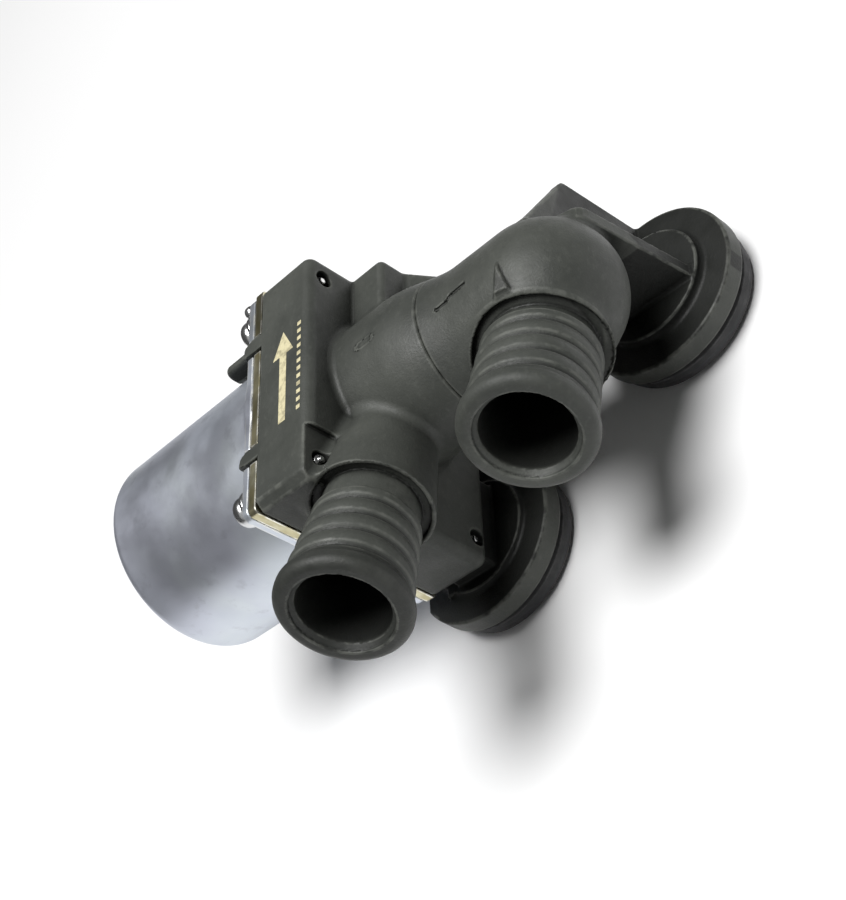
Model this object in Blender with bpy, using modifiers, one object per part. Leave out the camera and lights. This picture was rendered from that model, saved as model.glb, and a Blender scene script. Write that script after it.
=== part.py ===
"""Solenoid-operated coolant valve: two hose nipples, plastic body, steel coil can, two mounting discs.

The origin is the centre of the lower mounting disc's outer face, and both discs end at z = 0.
The solenoid axis runs along X, AXIS_HEIGHT above them.
Positions inside the functions are millimetres from that axis: x along it, y across, w upward.
x = 0 is the back face of the body block, where the steel yoke plate sits.
"""

import math

import bmesh
import bpy
from mathutils import Matrix, Vector

MM = 0.001

# ---- driving dimensions, millimetres ----
AXIS_HEIGHT = 32.0            # solenoid axis above the mounting faces
GAP = 0.3                     # running and seating clearance between pieces
STEPS = 28                    # facets around a large turned piece
FINE_STEPS = 14               # facets around a small turned piece

BLOCK_LENGTH = 12.3           # body block along the axis
BLOCK_LOW_Y = -23.0
BLOCK_HIGH_Y = 23.5
BLOCK_HALF_W = 19.4
STEP_X = 19.5                 # raised pad behind the chamber
STEP_HALF_W = 9.8
CHAMBER_RADIUS = 13.5
CHAMBER_END = 30.0            # weld line between valve body and outlet elbow
CHAMBER_CENTRE = (1.6, 0.9)   # y, w of the chamber's own axis
TUBE_RADIUS = 12.7
TUBE_CENTRE = (1.1, -0.9)
DOME_X = 45.5                 # centre of the elbow's closed, domed end
DOME_WALL = 2.4               # wall of the elbow's tube and dome

NIPPLE_TILT = math.radians(16.0)
BORE_RADIUS = 7.2
MOUTH_RADIUS = 7.9
BEAD_RADIUS = 10.5
INLET_X = 13.2
INLET_W = 0.2
INLET_COLLAR_T = 25.9
INLET_COLLAR_RADIUS = 10.1
INLET_LENGTH = 48.1
OUTLET_X = 43.9
OUTLET_W = -2.8
OUTLET_COLLAR_T = 8.8
OUTLET_COLLAR_RADIUS = 11.0
OUTLET_LENGTH = 29.3
GUSSET_ANGLE = math.radians(78.0)             # rib behind the outlet's collar, from the solenoid axis
GROOVES_FROM_MOUTH = (16.1, 12.4, 8.7, 5.0)   # centres of the grooves between the ribs
FIRST_RIB_FROM_MOUTH = 18.4
GROOVE_HALF_WIDTH = 0.75
GROOVE_DEPTH = 0.5

SCREW_CENTRE = (0.4, -0.4)    # y, w of the middle of the four screws
SCREW_HALF_Y = 18.8
SCREW_HALF_W = 16.4
SCREW_HOLE_RADIUS = 1.6
SCREW_RADIUS = 1.25

PLATE_BACK = -2.1
PLATE_LOW_Y = -23.1
PLATE_HIGH_Y = 24.0
PLATE_HALF_W = 19.2
FLANGE_BACK = -3.9
TAB_SPANS = ((10.3, 13.6), (-12.9, -9.9))   # low and high y of the two snap tabs
CAN_RADIUS = 19.0
CAN_WALL = 1.5
CAN_END = -43.2

LOWER_DISC = (6.2, -12.2)     # x, y of the disc beside the block
UPPER_DISC = (49.5, 14.5)     # x, y of the disc beside the elbow
DISC_RADIUS = 15.8
HUB_RADIUS = 10.6
DISC_FRONT = -23.6            # w of the moulded flange's front face
DISC_BACK = -27.4
SPIGOT_RADIUS = 5.0           # peg through the rubber ring, down to the mounting face
RING_INNER = 5.3
RING_PROUD = 4.1              # thickness of the rubber ring

ROD_RADIUS = 1.6
STROKE = 3.6                  # travel of the plunger towards the core
SEAT_RADIUS = 6.5
POPPET_RADIUS = 7.8
PLUNGER_RADIUS = 5.7
CORE_FACE = -24.0             # face of the fixed core that the plunger meets
POCKET_RADIUS = 3.9           # spring pockets in the core and the plunger

BOBBIN_FRONT = -5.0
BOBBIN_REAR = -39.4
BOBBIN_RADIUS = 16.6
BOBBIN_BORE = 7.1
CHEEK = 1.4                   # thickness of the bobbin's end cheeks
TUBE_INNER = 6.2              # brass guide tube inside the bobbin
TUBE_OUTER = 6.8
CORE_REAR = -41.4
CORE_STEM_END = -43.6

CONNECTOR_BACK = -15.4
CONNECTOR_FRONT = -5.0
CONNECTOR_LOW_Y = 20.6
CONNECTOR_HIGH_Y = 36.0
CONNECTOR_HALF_W = 9.0
SADDLE_RADIUS = 22.8
SADDLE_INNER = 19.5
SADDLE_LOW_Y = 15.4
PIN_HALF_GAP = 3.0            # w of each terminal pin from the middle of the socket

SCREW_SPOTS = []
for side_y in (1, -1):
    for side_w in (1, -1):
        spot_y = SCREW_CENTRE[0] + side_y * SCREW_HALF_Y
        spot_w = SCREW_CENTRE[1] + side_w * SCREW_HALF_W
        SCREW_SPOTS.append((spot_y, spot_w))

AXIS = Vector((1.0, 0.0, 0.0))
ACROSS = Vector((0.0, 1.0, 0.0))
UP = Vector((0.0, 0.0, 1.0))
DOWN = -UP
HOSE_AXIS = Vector((0.0, -math.cos(NIPPLE_TILT), math.sin(NIPPLE_TILT)))

for old in list(bpy.data.objects):
    bpy.data.objects.remove(old, do_unlink=True)

parts = bpy.data.collections.new("coolant_valve")
tools = bpy.data.collections.new("cutters")
bpy.context.scene.collection.children.link(parts)
bpy.context.scene.collection.children.link(tools)


def at(x, y, w):
    """World position of a point given from the solenoid axis."""
    return Vector(((x - LOWER_DISC[0]) * MM, (y - LOWER_DISC[1]) * MM, (AXIS_HEIGHT + w) * MM))


def material(name, colour, roughness, metallic):
    made = bpy.data.materials.new(name)
    made.use_nodes = True
    shader = made.node_tree.nodes["Principled BSDF"]
    shader.inputs["Base Color"].default_value = (*colour, 1.0)
    shader.inputs["Roughness"].default_value = roughness
    shader.inputs["Metallic"].default_value = metallic
    return made


PLASTIC = ("glass-filled nylon", (0.045, 0.047, 0.043), 0.48, 0.0)
RUBBER = ("moulded rubber", (0.018, 0.018, 0.019), 0.7, 0.0)
ZINC = ("zinc-plated steel", (0.62, 0.58, 0.42), 0.32, 1.0)
PASSIVATED = ("blue-passivated steel", (0.52, 0.56, 0.66), 0.36, 1.0)
STEEL = ("bright steel", (0.72, 0.72, 0.70), 0.25, 1.0)
BRASS = ("brass", (0.76, 0.58, 0.28), 0.3, 1.0)
COPPER = ("enamelled copper", (0.60, 0.25, 0.11), 0.35, 1.0)
TAPE = ("polyester wrap", (0.55, 0.42, 0.12), 0.5, 0.0)

root = bpy.data.objects.new("valve_frame", None)
root.location = at(0, 0, 0)
parts.objects.link(root)
slider = bpy.data.objects.new("plunger_frame", None)
slider.location = at(0, 0, 0)
parts.objects.link(slider)
bpy.context.view_layer.update()


def register(thing, look=None, parent=None):
    """Put an object among the parts, or among the cutters if it has no look of its own."""
    for owner in list(thing.users_collection):
        owner.objects.unlink(thing)
    if look is None:
        tools.objects.link(thing)
        thing.hide_render = True
        thing.display_type = "WIRE"
        return thing
    parts.objects.link(thing)
    thing.data.materials.clear()
    thing.data.materials.append(material(thing.name + "_look", look[1], look[2], look[3]))
    thing.data.shade_smooth()
    thing.data.set_sharp_from_angle(angle=math.radians(32))
    holder = parent or root
    thing.parent = holder
    thing.matrix_parent_inverse = holder.matrix_world.inverted()
    return thing


def turned(name, profile, place, direction=AXIS, steps=STEPS, look=None, parent=None, loop=False):
    """Turn a profile of (radius, distance) pairs about a line; the outer side runs far to near."""
    mesh = bpy.data.meshes.new(name)
    shape = bmesh.new()
    points = [shape.verts.new((radius * MM, 0.0, along * MM)) for radius, along in profile]
    for first, second in zip(points, points[1:]):
        shape.edges.new((first, second))
    if loop:
        shape.edges.new((points[-1], points[0]))
    shape.to_mesh(mesh)
    shape.free()
    thing = bpy.data.objects.new(name, mesh)
    thing.location = place
    thing.rotation_mode = "QUATERNION"
    thing.rotation_quaternion = direction.to_track_quat("Z", "Y")
    screw = thing.modifiers.new("turn", "SCREW")
    screw.steps = steps
    screw.render_steps = steps
    screw.use_merge_vertices = True
    screw.merge_threshold = 0.00001
    return register(thing, look, parent)


def rod(name, radius, start, end, place=None, direction=AXIS, steps=STEPS, look=None, parent=None, ease=0.0):
    """A solid round bar from start to end along a line, with eased ends."""
    base = at(0, 0, 0) if place is None else place
    profile = [(0, end), (radius - ease, end), (radius, end - ease), (radius, start + ease)]
    profile += [(radius - ease, start), (0, start)]
    if ease == 0.0:
        profile = [(0, end), (radius, end), (radius, start), (0, start)]
    return turned(name, profile, base, direction, steps, look, parent)


def ring(name, inner, outer, start, end, look=None, parent=None, steps=STEPS, place=None, direction=AXIS):
    """A plain bush or washer from start to end along a line."""
    base = at(0, 0, 0) if place is None else place
    profile = [(outer, end), (outer, start), (inner, start), (inner, end)]
    return turned(name, profile, base, direction, steps, look, parent, loop=True)


def box(name, low, high, round_edges=0.0, segments=2, look=None, parent=None):
    """A block between two corners given as (x, y, w), with rounded edges."""
    mesh = bpy.data.meshes.new(name)
    shape = bmesh.new()
    bmesh.ops.create_cube(shape, size=1.0)
    size = [(b - a) * MM for a, b in zip(low, high)]
    bmesh.ops.scale(shape, vec=Vector(size), verts=shape.verts)
    shape.to_mesh(mesh)
    shape.free()
    thing = bpy.data.objects.new(name, mesh)
    thing.location = at(*[(a + b) / 2 for a, b in zip(low, high)])
    if round_edges:
        bevel = thing.modifiers.new("round", "BEVEL")
        bevel.width = round_edges * MM
        bevel.segments = segments
    return register(thing, look, parent)


def outline(name, corners, thickness, place, across, up, look=None, parent=None):
    """A flat plate: corners (u, v) along the across and up directions, thickness about the middle."""
    curve = bpy.data.curves.new(name, "CURVE")
    curve.dimensions = "2D"
    curve.fill_mode = "BOTH"
    curve.extrude = thickness * MM / 2
    spline = curve.splines.new("POLY")
    spline.points.add(len(corners) - 1)
    for point, (u, v) in zip(spline.points, corners):
        point.co = (u * MM, v * MM, 0.0, 1.0)
    spline.use_cyclic_u = True
    guide = bpy.data.objects.new(name + "_outline", curve)
    normal = across.cross(up)
    turn = Matrix((across, up, normal)).transposed().to_4x4()
    guide.matrix_world = Matrix.Translation(place) @ turn
    bpy.context.scene.collection.objects.link(guide)
    bpy.context.view_layer.update()
    seen = guide.evaluated_get(bpy.context.evaluated_depsgraph_get())
    mesh = bpy.data.meshes.new_from_object(seen)
    mesh.name = name
    shape = bmesh.new()
    shape.from_mesh(mesh)
    bmesh.ops.remove_doubles(shape, verts=shape.verts, dist=0.000001)
    bmesh.ops.recalc_face_normals(shape, faces=shape.faces)
    shape.to_mesh(mesh)
    shape.free()
    thing = bpy.data.objects.new(name, mesh)
    thing.matrix_world = guide.matrix_world.copy()
    bpy.data.objects.remove(guide)
    return register(thing, look, parent)


def combine(thing, others, operation):
    for other in others:
        change = thing.modifiers.new(other.name, "BOOLEAN")
        change.operation = operation
        change.object = other
        change.solver = "EXACT"


def arc(centre, radius, first, last, count):
    """Points on an arc, angles in degrees."""
    made = []
    for index in range(count + 1):
        angle = math.radians(first + (last - first) * index / count)
        made.append((centre[0] + radius * math.cos(angle), centre[1] + radius * math.sin(angle)))
    return made


def nipple(name, place, collar_at, collar_radius, neck, length, first_crest, last_crest):
    """Solid hose nipple: tapered neck, sharp collar, broad ribs with narrow grooves, rounded bead."""
    profile = [(0, length), (8.8, length), (9.9, length - 0.5), (BEAD_RADIUS, length - 1.4)]
    profile += [(BEAD_RADIUS, length - 2.4), (last_crest, length - 3.8)]
    for groove in reversed(GROOVES_FROM_MOUTH):
        share = (FIRST_RIB_FROM_MOUTH - groove) / (FIRST_RIB_FROM_MOUTH - GROOVES_FROM_MOUTH[-1])
        crest = first_crest + (last_crest - first_crest) * share
        middle = length - groove
        profile += [(crest, middle + GROOVE_HALF_WIDTH), (crest - GROOVE_DEPTH, middle)]
        profile += [(crest, middle - GROOVE_HALF_WIDTH)]
    first_rib = length - FIRST_RIB_FROM_MOUTH
    root_radius = first_crest - 0.7
    profile += [(first_crest, first_rib + 0.3), (root_radius, first_rib), (root_radius, collar_at)]
    profile += [(collar_radius, collar_at), (neck[0], neck[1]), (neck[0], 1.0), (0, 1.0)]
    return turned(name, profile, place, HOSE_AXIS)


def mounting_disc(name, centre, hub_top):
    """Round flange on a hub: face, peg for the rubber ring, and the hub up to hub_top below the axis."""
    ease = 0.5
    profile = [
        (0, AXIS_HEIGHT),
        (SPIGOT_RADIUS - ease, AXIS_HEIGHT),
        (SPIGOT_RADIUS, AXIS_HEIGHT - ease),
        (SPIGOT_RADIUS, -DISC_BACK),
        (DISC_RADIUS - ease, -DISC_BACK),
        (DISC_RADIUS, -DISC_BACK - ease),
        (DISC_RADIUS, -DISC_FRONT + ease),
        (DISC_RADIUS - ease, -DISC_FRONT),
        (HUB_RADIUS, -DISC_FRONT),
        (HUB_RADIUS, hub_top),
        (0, hub_top),
    ]
    return turned(name, profile, at(centre[0], centre[1], 0), DOWN)


def bore(name, place, length):
    """Cutter for a nipple's bore, eased at the mouth."""
    profile = [(0, length + 2.0), (MOUTH_RADIUS, length + 2.0), (MOUTH_RADIUS, length - 0.4)]
    profile += [(BORE_RADIUS, length - 1.2), (BORE_RADIUS, 0.0), (0, 0.0)]
    return turned(name, profile, place, HOSE_AXIS, 26)


def rounded_outline(low_y, high_y, half_w, corner, count):
    """Corners (y, w) of a rounded rectangle across the solenoid axis."""
    made = []
    for sign_u, sign_v, first in ((1, 1, 0), (-1, 1, 90), (-1, -1, 180), (1, -1, 270)):
        middle = (high_y - corner if sign_u > 0 else low_y + corner, sign_v * (half_w - corner))
        made += arc(middle, corner, first, first + 90, count)
    return made


def fixing_cuts(name):
    """Cutters for the four screw holes and the two tab notches through a sheet behind the block."""
    cuts = []
    for spot in SCREW_SPOTS:
        cuts.append(rod(name + "_hole", SCREW_RADIUS + 0.35, -5.0, 2.0, at(0, *spot), steps=12))
    for low_y, high_y in TAB_SPANS:
        cuts.append(box(name + "_notch", (-7.0, low_y - GAP, 18.3), (2.0, high_y + GAP, 21.0)))
    return cuts


# ---- valve body: block, raised pad, chamber, inlet nipple, lower mounting flange ----

body = box(
    "valve_body",
    (0.0, BLOCK_LOW_Y, -BLOCK_HALF_W),
    (BLOCK_LENGTH, BLOCK_HIGH_Y, BLOCK_HALF_W),
    1.1,
    look=PLASTIC,
)
corner_pocket = box("corner_pocket", (11.4, -25.0, 12.6), (14.0, -12.9, 21.0))
edge_chamfer = outline(
    "edge_chamfer",
    [(-24.5, 16.4), (-20.0, 20.9), (-24.5, 20.9)],
    2 * BLOCK_LENGTH,
    at(BLOCK_LENGTH / 2, 0, 0),
    ACROSS,
    UP,
)
combine(body, [corner_pocket, edge_chamfer], "DIFFERENCE")
pad = box("pad", (8.0, 2.0, -STEP_HALF_W), (STEP_X, BLOCK_HIGH_Y - 0.4, STEP_HALF_W), 1.3)
chamber_profile = [
    (0, CHAMBER_END),
    (CHAMBER_RADIUS - 0.6, CHAMBER_END),
    (CHAMBER_RADIUS, CHAMBER_END - 1.4),
    (CHAMBER_RADIUS, BLOCK_LENGTH + 1.2),
    (CHAMBER_RADIUS + 1.2, BLOCK_LENGTH - 0.2),
    (CHAMBER_RADIUS + 1.2, 6.0),
    (0, 6.0),
]
chamber = turned("chamber", chamber_profile, at(0, *CHAMBER_CENTRE), steps=32)
web = outline(
    "web",
    [(10.0, 8.0), (29.8, 8.0), (29.8, 14.6), (20.4, 22.4), (19.0, 22.7), (10.0, 22.7)],
    8.0,
    at(0, 0, 0),
    AXIS,
    ACROSS,
)
inlet_base = at(INLET_X, 0.0, INLET_W)
inlet = nipple(
    "inlet_nipple",
    inlet_base,
    INLET_COLLAR_T,
    INLET_COLLAR_RADIUS,
    (7.7, 9.0),
    INLET_LENGTH,
    8.6,
    9.8,
)
lower_disc = mounting_disc("lower_disc", LOWER_DISC, 22.7)
hub_link = box("hub_link", (1.8, -20.4, -24.2), (10.6, -4.1, -15.0))
hub_foot = box("hub_foot", (-2.6, -22.5, -24.6), (14.2, -12.0, -22.9))
tabs = []
for index, (low_y, high_y) in enumerate(TAB_SPANS):
    tabs.append(box(f"tab_arm_{index}", (-5.5, low_y, 18.6), (1.6, high_y, 19.33)))
    tabs.append(box(f"tab_hook_{index}", (-5.4, low_y + 0.2, 17.3), (-4.25, high_y - 0.2, 19.1)))
combine(body, [pad, chamber, web, inlet, lower_disc, hub_link, hub_foot] + tabs, "UNION")

wet = rod("wet_space", 10.2, 6.4, 27.6, at(0, 1.2, 0.6))
throat = rod("throat", SEAT_RADIUS, 20.0, 40.0, steps=28)
inlet_bore = bore("inlet_bore", inlet_base, INLET_LENGTH)
gland = rod("gland", 4.9, -2.0, 5.2, steps=24)
rod_hole = rod("rod_hole", ROD_RADIUS + 0.35, 3.0, 9.0, steps=FINE_STEPS)
seal_pocket = ring("seal_pocket", 7.9, 10.1, -1.0, 1.5, steps=STEPS)
screw_holes = []
for spot in SCREW_SPOTS:
    screw_holes.append(rod("screw_hole", SCREW_HOLE_RADIUS, -2.0, 14.0, at(0, *spot), steps=12))
combine(body, [wet, throat, inlet_bore, gland, rod_hole, seal_pocket] + screw_holes, "DIFFERENCE")

# ---- outlet elbow: tube with domed end, outlet nipple, upper mounting flange, webs ----

elbow_profile = [(0, DOME_X + TUBE_RADIUS)]
for radius, along in arc((0, DOME_X), TUBE_RADIUS, 80, 0, 7):
    elbow_profile.append((radius, along))
elbow_profile += [(TUBE_RADIUS, CHAMBER_END + 1.4), (TUBE_RADIUS - 0.6, CHAMBER_END + 0.3)]
elbow_profile += [(0, CHAMBER_END + 0.3)]
elbow = turned("outlet_elbow", elbow_profile, at(0, *TUBE_CENTRE), steps=32, look=PLASTIC)
outlet_base = at(OUTLET_X, 0.0, OUTLET_W)
outlet = nipple(
    "outlet_nipple",
    outlet_base,
    OUTLET_COLLAR_T,
    OUTLET_COLLAR_RADIUS,
    (10.3, 5.0),
    OUTLET_LENGTH,
    9.5,
    9.9,
)
upper_disc = mounting_disc("upper_disc", UPPER_DISC, 21.8)
fin_corners = [(10.4, 2.0), (12.6, 5.2)] + arc((27.1, -6.0), 1.3, 75, 5, 3) + [(30.1, -24.4), (10.4, -24.4)]
fin = outline("fin", fin_corners, 2.6, at(46.7, 0, 0), ACROSS, UP)
shelf_corners = [(42.0, 2.2), (53.4, 2.2)] + arc((53.6, -0.2), 2.4, 70, 0, 3) + [(58.8, -24.4), (42.0, -24.4)]
shelf = outline("shelf", shelf_corners, 2.3, at(0, 11.1, 0), AXIS, UP)
gusset_side = math.cos(GUSSET_ANGLE) * AXIS + math.sin(GUSSET_ANGLE) * HOSE_AXIS.cross(AXIS)
gusset_corners = [(9.0, 8.6), (11.3, 8.6), (13.6, 5.6), (13.9, 3.6), (9.0, 3.6)]
gusset = outline("gusset", gusset_corners, 1.6, outlet_base, gusset_side, HOSE_AXIS)
combine(elbow, [outlet, upper_disc, fin, shelf, gusset], "UNION")

inner_radius = TUBE_RADIUS - DOME_WALL
inner_profile = [(0, DOME_X + inner_radius)]
for radius, along in arc((0, DOME_X), inner_radius, 78, 0, 5):
    inner_profile.append((radius, along))
inner_profile += [(inner_radius, 28.0), (0, 28.0)]
elbow_space = turned("elbow_space", inner_profile, at(0, *TUBE_CENTRE))
outlet_bore = bore("outlet_bore", outlet_base, OUTLET_LENGTH)
combine(elbow, [elbow_space, outlet_bore], "DIFFERENCE")

# ---- rubber rings on the spigots of the two mounting flanges ----

grommet_profile = [
    (13.4, AXIS_HEIGHT),
    (14.6, AXIS_HEIGHT - 0.9),
    (15.0, AXIS_HEIGHT - 2.4),
    (15.0, AXIS_HEIGHT - 3.5),
    (14.3, AXIS_HEIGHT - RING_PROUD),
    (RING_INNER, AXIS_HEIGHT - RING_PROUD),
    (RING_INNER, AXIS_HEIGHT),
]
for name, centre in (("mount_ring_lower", LOWER_DISC), ("mount_ring_upper", UPPER_DISC)):
    turned(name, grommet_profile, at(centre[0], centre[1], 0), DOWN, look=RUBBER, loop=True)

# ---- steel yoke plate and solenoid can ----

plate_thickness = -PLATE_BACK - GAP
yoke = outline(
    "yoke_plate",
    rounded_outline(PLATE_LOW_Y, PLATE_HIGH_Y, PLATE_HALF_W, 1.0, 2),
    plate_thickness,
    at(PLATE_BACK + plate_thickness / 2, 0, 0),
    ACROSS,
    UP,
    look=ZINC,
)
combine(yoke, [rod("yoke_bore", 7.2, -5.0, 2.0, steps=28)] + fixing_cuts("yoke"), "DIFFERENCE")

can_profile = [
    (0, CAN_END),
    (CAN_RADIUS - 2.2, CAN_END),
    (CAN_RADIUS - 0.65, CAN_END + 0.65),
    (CAN_RADIUS, CAN_END + 2.2),
    (CAN_RADIUS, PLATE_BACK - GAP),
    (CAN_RADIUS - CAN_WALL, PLATE_BACK - GAP),
    (CAN_RADIUS - CAN_WALL, CAN_END + 3.0),
    (CAN_RADIUS - 3.0, CAN_END + CAN_WALL),
    (0, CAN_END + CAN_WALL),
]
can_profile = [(radius, -along) for radius, along in can_profile]
can = turned("solenoid_can", can_profile, at(0, 0, 0), -AXIS, steps=36, look=PASSIVATED)
flange_thickness = PLATE_BACK - GAP - FLANGE_BACK
flange = outline(
    "can_flange",
    rounded_outline(PLATE_LOW_Y + 0.2, PLATE_HIGH_Y - 0.2, PLATE_HALF_W - 0.1, 1.6, 3),
    flange_thickness,
    at(FLANGE_BACK + flange_thickness / 2, 0, 0),
    ACROSS,
    UP,
)
combine(can, [flange], "UNION")
can_cuts = [rod("can_mouth", CAN_RADIUS - CAN_WALL, -10.0, 2.0, steps=36)] + fixing_cuts("flange")
can_cuts.append(box("connector_window", (-16.0, 10.0, -9.6), (0.0, 26.0, 9.6)))
can_cuts.append(rod("core_hole", 3.0, -46.0, -38.0, steps=FINE_STEPS))
combine(can, can_cuts, "DIFFERENCE")

# ---- coil: bobbin, winding, wrap, core, guide tube ----

bobbin_profile = [
    (BOBBIN_RADIUS, BOBBIN_FRONT),
    (BOBBIN_RADIUS, BOBBIN_FRONT - CHEEK),
    (BOBBIN_BORE + 1.0, BOBBIN_FRONT - CHEEK),
    (BOBBIN_BORE + 1.0, BOBBIN_REAR + CHEEK),
    (BOBBIN_RADIUS, BOBBIN_REAR + CHEEK),
    (BOBBIN_RADIUS, BOBBIN_REAR),
    (BOBBIN_BORE, BOBBIN_REAR),
    (BOBBIN_BORE, BOBBIN_FRONT),
]
turned("coil_bobbin", bobbin_profile, at(0, 0, 0), look=PLASTIC, loop=True)
winding_rear = BOBBIN_REAR + CHEEK + GAP
winding_front = BOBBIN_FRONT - CHEEK - GAP
winding_radius = BOBBIN_RADIUS - 2.0
ring("coil_winding", BOBBIN_BORE + 1.3, winding_radius, winding_rear, winding_front, COPPER)
ring("coil_wrap", winding_radius + GAP, winding_radius + 0.9, winding_rear, winding_front, TAPE)
core_profile = [
    (0, CORE_FACE),
    (TUBE_INNER - 0.6, CORE_FACE),
    (TUBE_INNER - 0.6, CORE_REAR),
    (2.7, CORE_REAR),
    (2.7, CORE_STEM_END),
    (0, CORE_STEM_END),
]
core = turned("fixed_core", core_profile, at(0, 0, 0), steps=28, look=STEEL)
core_pocket = rod("core_pocket", POCKET_RADIUS, CORE_FACE - 5.0, CORE_FACE + 1.0, steps=24)
combine(core, [core_pocket], "DIFFERENCE")
ring("guide_tube", TUBE_INNER, TUBE_OUTER, BOBBIN_REAR + 0.8, -2 * GAP, BRASS, steps=28)

# ---- electrical connector beside the can ----

connector = box(
    "connector_housing",
    (CONNECTOR_BACK, CONNECTOR_LOW_Y, -CONNECTOR_HALF_W),
    (CONNECTOR_FRONT, CONNECTOR_HIGH_Y, CONNECTOR_HALF_W),
    0.8,
    look=PLASTIC,
)
saddle_rear = CONNECTOR_BACK + 2.0
saddle_profile = [
    (SADDLE_RADIUS - 0.9, CONNECTOR_FRONT),
    (SADDLE_RADIUS, CONNECTOR_FRONT - 1.0),
    (SADDLE_RADIUS, saddle_rear + 1.4),
    (SADDLE_RADIUS - 1.4, saddle_rear),
    (SADDLE_INNER, saddle_rear),
    (SADDLE_INNER, CONNECTOR_FRONT),
]
saddle_raw = turned("saddle", saddle_profile, at(0, 0, 0), steps=32, loop=True)
saddle_keep = box("saddle_keep", (-20.0, SADDLE_LOW_Y, -30.0), (0.0, 30.0, 30.0))
combine(saddle_raw, [saddle_keep], "INTERSECT")
lead_block = box("lead_block", (-14.6, 17.4, -8.4), (-7.0, 22.0, 8.4))
combine(connector, [saddle_raw, lead_block], "UNION")
connector_cuts = [box("socket", (-13.6, 25.0, -7.2), (-6.8, 38.0, 7.2), 0.8)]
for y, w in SCREW_SPOTS[:2]:
    connector_cuts.append(rod("head_relief", 3.4, -8.4, -4.0, at(0, y, w), steps=12))
for side in (1, -1):
    middle = side * PIN_HALF_GAP
    connector_cuts.append(box("pin_slot", (-10.9, 16.0, middle - 1.3), (-9.5, 26.0, middle + 1.3)))
combine(connector, connector_cuts, "DIFFERENCE")
for name, side in (("terminal_pin_a", 1), ("terminal_pin_b", -1)):
    middle = side * PIN_HALF_GAP
    box(name, (-10.6, 18.0, middle - 1.0), (-9.8, 33.0, middle + 1.0), look=BRASS)

# ---- four screws with captive washers ----

HEAD_SEAT = -FLANGE_BACK + GAP
HEAD_TOP = HEAD_SEAT + 3.6
screw_profile = [
    (0, HEAD_TOP),
    (1.0, HEAD_TOP),
    (2.1, HEAD_TOP - 0.5),
    (2.7, HEAD_TOP - 1.5),
    (2.7, HEAD_SEAT + 0.8),
    (3.0, HEAD_SEAT + 0.7),
    (3.0, HEAD_SEAT),
    (SCREW_RADIUS, HEAD_SEAT),
    (SCREW_RADIUS, -10.4),
    (0.5, -12.0),
    (0, -12.0),
]
for index, (y, w) in enumerate(SCREW_SPOTS):
    screw = turned(f"plate_screw_{index + 1}", screw_profile, at(0, y, w), -AXIS, FINE_STEPS, STEEL)
    recesses = []
    for wide, tall in ((3.0, 0.8), (0.8, 3.0)):
        low = (-HEAD_TOP - 1.0, y - wide / 2, w - tall / 2)
        high = (-HEAD_TOP + 1.2, y + wide / 2, w + tall / 2)
        recesses.append(box("cross_recess", low, high))
    combine(screw, recesses, "DIFFERENCE")
rod("locating_rivet", 0.9, -6.0, -HEAD_SEAT, at(0, 22.9, 17.6), steps=12, look=STEEL, ease=0.3)

# ---- seals and guides between the solenoid and the chamber ----

seal_profile = list(reversed(arc((9.0, 0.5), 0.7, 90, 450, 6)[:-1]))
turned("body_seal", seal_profile, at(0, 0, 0), look=RUBBER, loop=True)
ring("rod_bush", ROD_RADIUS + 0.15, 4.6, -0.2, 2.4, BRASS, steps=24)
lip_profile = [(4.6, 4.9), (4.6, 2.7), (1.75, 3.3), (1.75, 3.9), (3.2, 4.3), (3.2, 4.9)]
turned("rod_seal", lip_profile, at(0, 0, 0), steps=24, look=RUBBER, loop=True)

# ---- moving pieces on the solenoid axis ----

PLUNGER_BACK = CORE_FACE + STROKE + 0.4
plunger = rod("plunger", PLUNGER_RADIUS, PLUNGER_BACK, -2.6, steps=28, look=STEEL, parent=slider, ease=0.5)
spring_pocket = rod("spring_pocket", POCKET_RADIUS, PLUNGER_BACK - 1.0, PLUNGER_BACK + 5.0, steps=24)
rod_socket = rod("rod_socket", ROD_RADIUS + 0.1, -8.0, 0.0, steps=FINE_STEPS)
combine(plunger, [spring_pocket, rod_socket], "DIFFERENCE")
rod_profile = [
    (0, 39.4),
    (1.0, 39.4),
    (1.3, 39.0),
    (1.3, 33.2),
    (ROD_RADIUS, 33.2),
    (ROD_RADIUS, -7.6),
    (0, -7.6),
]
turned("valve_rod", rod_profile, at(0, 0, 0), steps=FINE_STEPS, look=STEEL, parent=slider)
POPPET_FACE = CHAMBER_END + STROKE + 0.1
poppet_profile = [
    (POPPET_RADIUS - 0.6, POPPET_FACE + 3.6),
    (POPPET_RADIUS, POPPET_FACE + 3.0),
    (POPPET_RADIUS, POPPET_FACE + 1.9),
    (1.6, POPPET_FACE + 1.9),
    (1.6, POPPET_FACE + 3.6),
]
turned("poppet", poppet_profile, at(0, 0, 0), steps=28, look=BRASS, parent=slider, loop=True)
ring("poppet_seal", 1.6, POPPET_RADIUS - 0.3, POPPET_FACE, POPPET_FACE + 1.6, RUBBER, slider, 28)
ring("retaining_ring", 1.6, 3.0, POPPET_FACE + 3.9, POPPET_FACE + 4.7, STEEL, slider, FINE_STEPS)

# ---- return spring between the fixed core and the plunger ----

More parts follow.
